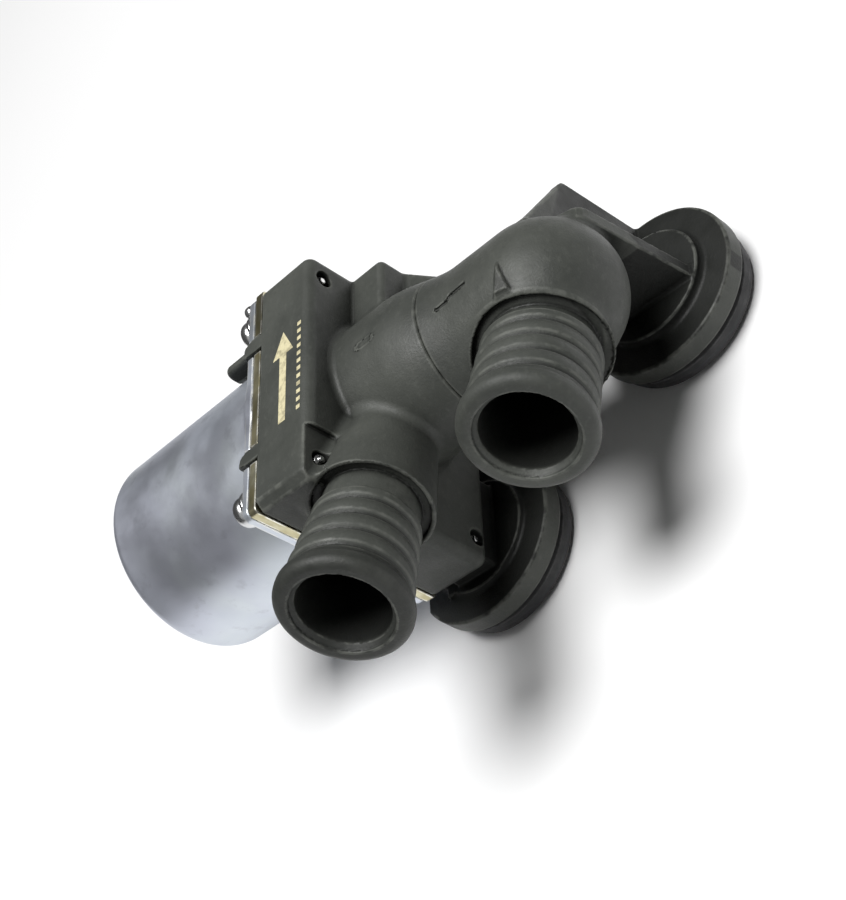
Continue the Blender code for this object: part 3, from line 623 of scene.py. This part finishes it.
def moulded_plastic(name, dark, pale, worn, roughness=(0.42, 0.6)):
    """Satin glass-filled nylon: cloudy tone, fibre mottle, rubbed edges, and painted shade in hollows, in
    recesses and on the shade attribute.
    """
    look = Look(name)
    cloud = look.remap(look.noise(55, 5, 0.6), 0.3, 0.72)
    colour = look.mix(cloud, dark, pale)
    fibre = look.remap(look.noise(1100, 4, 0.6, (1.0, 0.6, 1.0)), 0.5, 0.8, 0.0, 0.22)
    colour = look.mix(fibre, colour, worn)
    colour = look.mix(look.remap(look.noise(1700, 2), 0.6, 0.7, 0.0, 0.35), colour, dark)
    # painted shade: a dark copy of the base tone, mixed in where creases, recesses and the shade attribute
    # stand for shadow
    painted_shade_colour = tuple(0.2 * c for c in dark)
    # painted shade in creases, from the surface's curvature
    colour = look.mix(look.math("MULTIPLY", look.hollows(0.25, 1.6), 0.55), colour, painted_shade_colour)
    # painted shade in recesses, from ambient occlusion
    sheltered = look.shelter(0.009, 0.25, 0.8)
    colour = look.mix(look.math("MULTIPLY", sheltered, 0.9), colour, painted_shade_colour)
    # painted shade from the vertices' shade attribute: bores, inlet bead, shelf, gusset rib and the discs
    # under the body
    painted_shade_share = look.add("ShaderNodeAttribute", attribute_name="shade").outputs["Fac"]
    colour = look.mix(look.math("MULTIPLY", painted_shade_share, 0.88), colour, painted_shade_colour)
    colour = look.mix(look.math("MULTIPLY", look.edges(0.45, 1.6), 0.55), colour, worn)
    sheen = look.remap(look.noise(130, 6, 0.65), 0.3, 0.7, *roughness)
    grain = look.bump(look.noise(2600, 4, 0.6), 0.00006)
    sink = look.bump(look.noise(150, 3), 0.0003, 0.35, grain)
    # specular level lowered by the same occlusion share: painted shade on reflections
    glint = look.remap(sheltered, 0.0, 1.0, 0.34, 0.1)
    return look.finish(colour, sheen, 0.0, sink, Specular_IOR_Level=glint)


def plated_steel(name, tones, roughness, brushed=None, edge=(0.9, 0.9, 0.88), scale=28, metallic=1.0):
    """Plated sheet or turned steel: cloudy plating tint, fine scratches, bright bare edges."""
    look = Look(name)
    cloud = look.noise(scale, 3, 0.5, None, 0.6)
    colour = look.mix(look.remap(cloud, 0.3, 0.66), tones[0], tones[1])
    drift = look.noise(scale * 1.7, 4, 0.55, (1.0, 0.6, 0.8))
    colour = look.mix(look.remap(drift, 0.42, 0.76), colour, tones[2])
    stain = look.remap(look.noise(240, 5, 0.6), 0.56, 0.7, 0.0, 0.3)
    colour = look.mix(stain, colour, tuple(0.6 * c for c in tones[1]))
    colour = look.mix(look.edges(0.5, 2.5), colour, edge)
    sheen = look.remap(look.noise(90, 5), 0.3, 0.7, *roughness)
    scratches = look.noise(700, 3, 0.6, brushed or (1.0, 1.0, 1.0))
    normal = look.bump(scratches, 0.00002, 0.6)
    normal = look.bump(look.noise(3000, 2), 0.00001, 0.5, normal)
    return look.finish(colour, sheen, metallic, normal)


def rubber(name, tone=0.03):
    look = Look(name)
    dust = look.remap(look.noise(120, 6, 0.65), 0.5, 0.75, 0.0, 0.35)
    colour = look.mix(dust, (tone, tone, tone * 1.05), (tone * 3.4, tone * 3.4, tone * 3.3))
    rubbed = look.math("MULTIPLY", look.edges(0.5, 2.0), 0.6)
    colour = look.mix(rubbed, colour, (tone * 5, tone * 5, tone * 5))
    sheen = look.remap(look.noise(200, 4), 0.3, 0.7, 0.55, 0.78)
    return look.finish(colour, sheen, 0.0, look.bump(look.noise(1800, 4), 0.00008))


def yellow_metal(name, base, dull):
    look = Look(name)
    colour = look.mix(look.remap(look.noise(180, 5), 0.4, 0.68), base, dull)
    colour = look.mix(look.edges(0.5, 2.0), colour, tuple(min(1.0, 1.2 * c) for c in base))
    sheen = look.remap(look.noise(260, 4), 0.3, 0.7, 0.24, 0.42)
    return look.finish(colour, sheen, 1.0, look.bump(look.noise(1500, 3, 0.5, (6.0, 1.0, 1.0)), 0.00002))


def wound_wire(name):
    """Enamelled copper wound in close turns along the axis."""
    look = Look(name)
    bands = look.add("ShaderNodeTexWave", {"Vector": look.place, "Scale": 620.0, "Distortion": 0.4},
                     wave_type="BANDS", bands_direction="X").outputs["Fac"]
    colour = look.mix(bands, (0.30, 0.09, 0.03), (0.72, 0.30, 0.12))
    colour = look.mix(look.remap(look.noise(90, 4), 0.5, 0.7, 0.0, 0.5), colour, (0.36, 0.13, 0.05))
    sheen = look.remap(look.noise(300, 4), 0.3, 0.7, 0.28, 0.45)
    return look.finish(colour, sheen, 1.0, look.bump(bands, 0.0002))


def wrap_tape(name):
    look = Look(name)
    turns = look.add("ShaderNodeTexWave", {"Vector": look.place, "Scale": 22.0, "Distortion": 0.2},
                     wave_type="BANDS", bands_direction="X").outputs["Fac"]
    colour = look.mix(turns, (0.42, 0.28, 0.05), (0.60, 0.45, 0.12))
    colour = look.mix(look.remap(look.noise(300, 5), 0.5, 0.72, 0.0, 0.4), colour, (0.25, 0.16, 0.03))
    sheen = look.remap(look.noise(200, 4), 0.3, 0.7, 0.35, 0.55)
    return look.finish(colour, sheen, 0.0, look.bump(turns, 0.0001))


def ink(name):
    """Pad-printed ink, thin and a little rubbed."""
    look = Look(name)
    thin = look.remap(look.noise(800, 5, 0.65), 0.42, 0.66, 0.0, 0.75)
    colour = look.mix(thin, (0.66, 0.60, 0.38), (0.30, 0.27, 0.17))
    sheen = look.remap(look.noise(500, 4), 0.3, 0.7, 0.4, 0.6)
    return look.finish(colour, sheen, 0.0, look.bump(look.noise(2500, 3), 0.00003))


NYLON = moulded_plastic("nylon_body", (0.042, 0.045, 0.040), (0.072, 0.076, 0.067), (0.135, 0.140, 0.124))
BOBBIN = moulded_plastic("nylon_bobbin", (0.09, 0.085, 0.07), (0.14, 0.13, 0.11), (0.25, 0.24, 0.20))
BLUE_ZINC = ((0.63, 0.67, 0.75), (0.57, 0.59, 0.67), (0.69, 0.74, 0.77))
YELLOW_ZINC = ((0.60, 0.55, 0.36), (0.42, 0.38, 0.22), (0.76, 0.73, 0.56))
CLEAR_ZINC = ((0.78, 0.79, 0.78), (0.62, 0.63, 0.64), (0.85, 0.85, 0.83))
BARE_STEEL = ((0.62, 0.62, 0.61), (0.48, 0.48, 0.49), (0.7, 0.7, 0.69))
CAN_STEEL = plated_steel("blue_plated_can", BLUE_ZINC, (0.36, 0.5), (8.0, 1.0, 1.0), metallic=0.88)
PLATE_STEEL = plated_steel("zinc_plate", YELLOW_ZINC, (0.3, 0.48), None, (0.95, 0.93, 0.84), 110)
SCREW_STEEL = plated_steel("screw_steel", CLEAR_ZINC, (0.2, 0.36), None, (0.95, 0.95, 0.94), 120)
TURNED_STEEL = plated_steel("turned_steel", BARE_STEEL, (0.2, 0.34), (10.0, 1.0, 1.0), scale=90)
RING_RUBBER = rubber("ring_rubber")
SEAL_RUBBER = rubber("seal_rubber", 0.015)
BRASS = yellow_metal("brass", (0.74, 0.55, 0.26), (0.42, 0.30, 0.14))
COPPER = wound_wire("copper_winding")
TAPE = wrap_tape("polyester_wrap")
INK = ink("printed_ink")


# ---- metal and rubber pieces ----

def rounded_frame(p, low_y, high_y, half_w, corner):
    """Side distance to a rounded rectangle across the axis."""
    a = np.abs(p[:, 1] - (low_y + high_y) / 2) - (high_y - low_y) / 2 + corner
    b = np.abs(p[:, 2]) - half_w + corner
    return np.minimum(np.maximum(a, b), 0) + np.hypot(np.maximum(a, 0), np.maximum(b, 0)) - corner


def fixings(p):
    """Screw holes and tab notches through the sheets behind the block."""
    cuts = union(*[radius_from(p, y, w) - SCREW_HOLE for y, w in SCREWS])
    for low_y, high_y in TAB_SPANS:
        cuts = union(cuts, slab(p, (-9, low_y - 0.2, 18.35), (3, high_y + 0.2, 24)))
    return cuts


def yoke_plate(p):
    middle, half = (PLATE[0] + PLATE[1]) / 2, (PLATE[1] - PLATE[0]) / 2
    low_y, high_y, half_w = PLATE_SPAN
    sheet = capped(rounded_frame(p, low_y, high_y, half_w, 1.0), p[:, 0] - middle, half, 0.16)
    return carve(sheet, union(radius_from(p) - 7.2, fixings(p)), 0.1)


def solenoid_can(p):
    rho = radius_from(p)
    shell = np.maximum(drum(rho, p[:, 0], CAN_RADIUS, CAN_END, 8, 2.3), p[:, 0] - FLANGE[1])
    middle, half = (FLANGE[0] + FLANGE[1]) / 2, (FLANGE[1] - FLANGE[0]) / 2
    low_y, high_y, half_w = PLATE_SPAN
    flange = rounded_frame(p, low_y + 0.2, high_y - 0.2, half_w - 0.1, 1.6)
    shell = fillet(shell, capped(flange, p[:, 0] - middle, half, 0.25), 0.7)
    inside = drum(rho, p[:, 0], CAN_RADIUS - CAN_WALL, CAN_END + CAN_WALL, 10, 1.0)
    window = slab(p, (-16, 10, -9.6), (0, 26, 9.6), 1.0)
    core_hole = np.maximum(rho - 3.0, p[:, 0] + 38)
    return carve(shell, union(inside, window, core_hole, fixings(p)), 0.15)


def mount_ring(p, centre):
    """Rubber ring on a spigot: rounded rim and a shallow groove in its face."""
    rho = np.hypot(p[:, 0] - centre[0], p[:, 1] - centre[1])
    outline = [(13.4, -32.0), (14.5, -31.1), (14.9, -29.7), (14.9, -28.5), (14.4, -27.9)]
    outline += [(5.3, -27.9), (5.3, -32.0)]
    made = polygon(rho, p[:, 2], outline) + 0.02
    recess = np.hypot(rho - 9.5, (p[:, 2] + 32.6)) - 1.3
    return carve(made, recess, 0.3)


def plate_screw(p):
    """Thread-forming screw with a captive washer and a cross recess, its head towards -x."""
    rho = radius_from(p)
    angle = np.arctan2(p[:, 2], p[:, 1])
    mean_radius, half_depth, pitch = SCREW_THREAD
    thread = half_depth * np.cos(2 * math.pi * p[:, 0] / pitch + angle)
    taper = np.clip((p[:, 0] - 10.2) / 1.8, 0, 1) * 0.75
    shank = (rho - mean_radius + taper - np.where(p[:, 0] > -1.5, thread, 0)) * 0.8
    shank = np.maximum(shank, np.abs(p[:, 0] - 3.6) - 8.4)
    washer = drum(rho, p[:, 0], WASHER_RADIUS, HEAD_SEAT - 0.8, HEAD_SEAT, 0.2)
    head = drum(rho, p[:, 0], SCREW_HEAD_RADIUS, HEAD_SEAT - 3.6, HEAD_SEAT - 0.4, 1.5)
    cross = slab(p, (-11, -1.5, -0.42), (-6.6, 1.5, 0.42), 0.1)
    cross = union(cross, slab(p, (-11, -0.42, -1.5), (-6.6, 0.42, 1.5), 0.1))
    return union(shank, fillet(washer, carve(head, cross, 0.12), 0.15))


def connector_housing(p):
    shell = slab(p, (CONNECTOR_BACK, 20.6, -9), (-5, 36, 9), 0.9)
    saddle = drum(radius_from(p), p[:, 0], SADDLE_RADIUS, -13.4, -5, 2.4)
    saddle = capped(saddle, p[:, 1] - 23.3, 10.0, 1.6)
    saddle = carve(saddle, radius_from(p) - 19.5, 0.2)
    spans = [(24.0 + k * 2.6, 24.9 + k * 2.6) for k in range(3)]
    rib = union(*[slab(p, (CONNECTOR_BACK, low, -8.0), (-4.98, high, 8.0), 0.3) for low, high in spans])
    lead = slab(p, (-14.6, 17.4, -8.4), (-7, 22, 8.4), 0.5)
    made = fillet(fillet(shell, saddle, 0.8), lead, 0.3)
    made = union(made, rib)
    socket = slab(p, (-13.6, 25, -7.2), (-6.8, 40, 7.2), 0.8)
    slots = [slab(p, (-10.9, 16, w - 1.3), (-9.5, 26, w + 1.3), 0.1) for w in (PIN_OFFSET, -PIN_OFFSET)]
    latch = slab(p, (-8.0, 31.5, -9.6), (-5.6, 34.6, 9.6), 0.2)
    made = carve(made, union(socket, *slots), 0.2)
    for y, w in SCREWS[:2]:
        made = carve(made, drum(radius_from(p, y, w), p[:, 0], 3.4, -8.4, 0, 0.3), 0.2)
    return carve(made, np.maximum(latch, 8.4 - np.abs(p[:, 2])), 0.15)


def terminal_pin(side):
    def blade(p):
        q = p - np.array((0, 0, side * PIN_OFFSET))
        tip = (q[:, 1] - 31.6) * 0.42
        flat = slab(q, (-10.6, 18, -1), (-9.8, 33, 1), 0.1)
        taper = np.maximum(np.abs(q[:, 2]) - 1 + tip, np.abs(q[:, 0] + 10.2) - 0.4 + tip * 0.5)
        return np.maximum(flat, taper * 0.9)
    return blade


def rivet(p):
    rho = radius_from(p, *RIVET_PLACE)
    return drum(rho, p[:, 0], 1.25, -6.3, HEAD_SEAT, 0.9)


# ---- the shown pieces ----

piece("valve_body_shell", valve_body, (-6.6, -51, -33), (31, 24, 25), 0.32, NYLON,
      nodes=["valve_body"], shade=body_shade)
piece("outlet_elbow_shell", outlet_elbow, (29, -33, -33), (67, 32, 14), 0.32, NYLON,
      nodes=["outlet_elbow"], shade=elbow_shade)
piece("can_shell", solenoid_can, (-44, -24, -20), (-1.8, 25, 20), 0.3, CAN_STEEL,
      nodes=["solenoid_can"])
piece("yoke_sheet", yoke_plate, (-3, -24, -20), (0.5, 25, 20), 0.22, PLATE_STEEL,
      nodes=["yoke_plate"])
for name, centre in DISC_CENTRES.items():
    low = (centre[0] - 16, centre[1] - 16, -33)
    high = (centre[0] + 16, centre[1] + 16, -27)
    field = lambda p, centre=centre: mount_ring(p, centre)
    piece(f"ring_{name}", field, low, high, 0.25, RING_RUBBER, nodes=[f"mount_ring_{name}"])
for number, (y, w) in enumerate(SCREWS, 1):
    piece(f"screw_{number}", plate_screw, (-8.3, -3.4, -3.4), (12.6, 3.4, 3.4), 0.16, SCREW_STEEL,
          nodes=[f"plate_screw_{number}"], shift=(0, y, w))
piece("connector_shell", connector_housing, (-16.5, 12.6, -19.5), (-4, 37, 19.5), 0.28, NYLON,
      nodes=["connector_housing"])
for letter, side in (("a", 1), ("b", -1)):
    low = (-11.2, 17.4, side * PIN_OFFSET - 1.6)
    high = (-9.2, 33.6, side * PIN_OFFSET + 1.6)
    piece(f"terminal_{letter}", terminal_pin(side), low, high, 0.12, BRASS,
          nodes=[f"terminal_pin_{letter}"])
piece("rivet_head", rivet, (-6.8, 21.2, 16.0), (-3.8, 24.6, 19.3), 0.12, SCREW_STEEL,
      nodes=["locating_rivet"])

carried = {
    BOBBIN: ["coil_bobbin"],
    COPPER: ["coil_winding"],
    TAPE: ["coil_wrap"],
    TURNED_STEEL: ["fixed_core", "plunger", "valve_rod", "retaining_ring"],
    BRASS: ["guide_tube", "rod_bush", "poppet"],
    SEAL_RUBBER: ["body_seal", "rod_seal", "poppet_seal"],
}
for look, names in carried.items():
    for name in names:
        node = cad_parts[name]
        node.data.materials.clear()
        node.data.materials.append(look)


def spring_wire():
    """Round wire coil between the fixed core and the plunger."""
    turns, steps, sides = 5, 40, 10
    count = turns * steps
    points, faces = [], []
    for i in range(count + 1):
        angle = 2 * math.pi * i / steps
        out = np.array((0, math.cos(angle), math.sin(angle)))
        centre = np.array((SPRING_START + SPRING_LENGTH * i / count, 0, 0)) + SPRING_RADIUS * out
        for j in range(sides):
            turn = 2 * math.pi * j / sides
            point = centre + WIRE_RADIUS * (math.cos(turn) * out + math.sin(turn) * np.array((1, 0, 0)))
            points.append(tuple((point + ORIGIN) * MM))
    for i in range(count):
        for j in range(sides):
            a, b = i * sides + j, i * sides + (j + 1) % sides
            faces.append((a, a + sides, b + sides, b))
    faces.append(tuple(range(sides)))
    faces.append(tuple(reversed(range(count * sides, (count + 1) * sides))))
    mesh = bpy.data.meshes.new("spring_wire")
    mesh.from_pydata(points, [], faces)
    mesh.shade_smooth()
    made = bpy.data.objects.new("spring_wire", mesh)
    bpy.context.scene.collection.objects.link(made)
    mesh.materials.append(TURNED_STEEL)
    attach(made, "valve")
    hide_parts("return_spring")
    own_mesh(made)


spring_wire()


def printed_mark():
    """Generic flow arrow with a row of ticks, printed on the block's flat face."""
    top = BLOCK_HALF_W
    arrow = [(5.2, -9.5), (6.9, -9.5), (6.9, 4.5), (8.6, 4.5), (6.05, 9.5), (3.5, 4.5), (5.2, 4.5)]
    shapes = [arrow]
    for index in range(12):
        y = -9.2 + index * 1.6
        shapes.append([(9.6, y), (10.5, y), (10.5, y + 0.8), (9.6, y + 0.8)])
    mesh = bpy.data.meshes.new("printed_mark")
    points, faces = [], []
    for shape in shapes:
        start, n = len(points), len(shape)
        for w in (top + 0.005, top + 0.035):
            points += [tuple((np.array((x, y, w)) + ORIGIN) * MM) for x, y in shape]
        faces.append([start + i for i in reversed(range(n))])
        faces.append([start + n + i for i in range(n)])
        for i in range(n):
            j = (i + 1) % n
            faces.append([start + i, start + j, start + n + j, start + n + i])
    mesh.from_pydata(points, [], faces)
    made = bpy.data.objects.new("printed_mark", mesh)
    bpy.context.scene.collection.objects.link(made)
    mesh.materials.append(INK)
    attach(made, "valve")


printed_mark()


# ---- floor, light, camera ----

AZIMUTH, ELEVATION, ROLL = math.radians(42.19), math.radians(33.46), math.radians(-61.28)
CAMERA_PLACE = Vector((0.15511, -0.15843, 0.17343))     # metres
LENS = 69.03                          # focal length on a 36 mm wide sensor

flat_share = math.cos(ELEVATION)
back = Vector((math.sin(AZIMUTH) * flat_share, -math.cos(AZIMUTH) * flat_share, math.sin(ELEVATION)))
level = Vector((math.cos(AZIMUTH), math.sin(AZIMUTH), 0))
right = (Matrix.Rotation(ROLL, 3, back) @ level).normalized()
up = back.cross(right)

camera_data = bpy.data.cameras.new("camera")
camera_data.lens = LENS
camera_data.sensor_fit = "HORIZONTAL"
camera_data.sensor_width = 36.0
camera_data.clip_start = 0.01
camera = bpy.data.objects.new("camera", camera_data)
bpy.context.scene.collection.objects.link(camera)
camera.matrix_world = Matrix.Translation(CAMERA_PLACE) @ Matrix((right, up, back)).transposed().to_4x4()
bpy.context.scene.camera = camera

centre = (cad_box[0] + cad_box[1]) / 2


ROOM_GLOW = 0.06                      # light from the room on the object
BACKDROP_GLOW = 1.0                   # the pale backdrop as the camera sees it
FLOOR_HALF = 3.0                      # half the floor's side, metres


def soft_light(name, direction, distance, size, power):
    data = bpy.data.lights.new(name, "AREA")
    data.shape = "DISK"
    data.size = size
    data.energy = power
    made = bpy.data.objects.new(name, data)
    towards = direction.normalized()
    made.location = centre + towards * distance
    made.rotation_mode = "QUATERNION"
    made.rotation_quaternion = towards.to_track_quat("Z", "Y")
    bpy.context.scene.collection.objects.link(made)


soft_light("key", up * 0.5 - right * 0.65 + back * 0.65, 1.5, 0.9, 31.0)
soft_light("fill", back * 0.8 - right * 0.5 - up * 0.3, 0.9, 0.9, 0.6)

world = bpy.data.worlds.new("studio")
world.use_nodes = True
backdrop = world.node_tree.nodes["Background"]
backdrop.inputs["Color"].default_value = (1.0, 1.0, 1.0, 1.0)
seen = world.node_tree.nodes.new("ShaderNodeLightPath")
glow = world.node_tree.nodes.new("ShaderNodeMapRange")
glow.inputs["To Min"].default_value = ROOM_GLOW
glow.inputs["To Max"].default_value = BACKDROP_GLOW
world.node_tree.links.new(seen.outputs["Is Camera Ray"], glow.inputs["Value"])
world.node_tree.links.new(glow.outputs["Result"], backdrop.inputs["Strength"])
bpy.context.scene.world = world
bpy.context.scene.view_settings.view_transform = "Standard"

floor_mesh = bpy.data.meshes.new("floor")
half = FLOOR_HALF
corners = [(-half, -half, 0), (half, -half, 0), (half, half, 0), (-half, half, 0)]
floor_mesh.from_pydata(corners, [], [(0, 1, 2, 3)])
floor = bpy.data.objects.new("floor", floor_mesh)
bpy.context.scene.collection.objects.link(floor)
floor_look = Look("floor_white")
paper = floor_look.mix(floor_look.noise(3), (0.86, 0.86, 0.86), (0.9, 0.9, 0.9))
floor_mesh.materials.append(floor_look.finish(paper, 0.8))
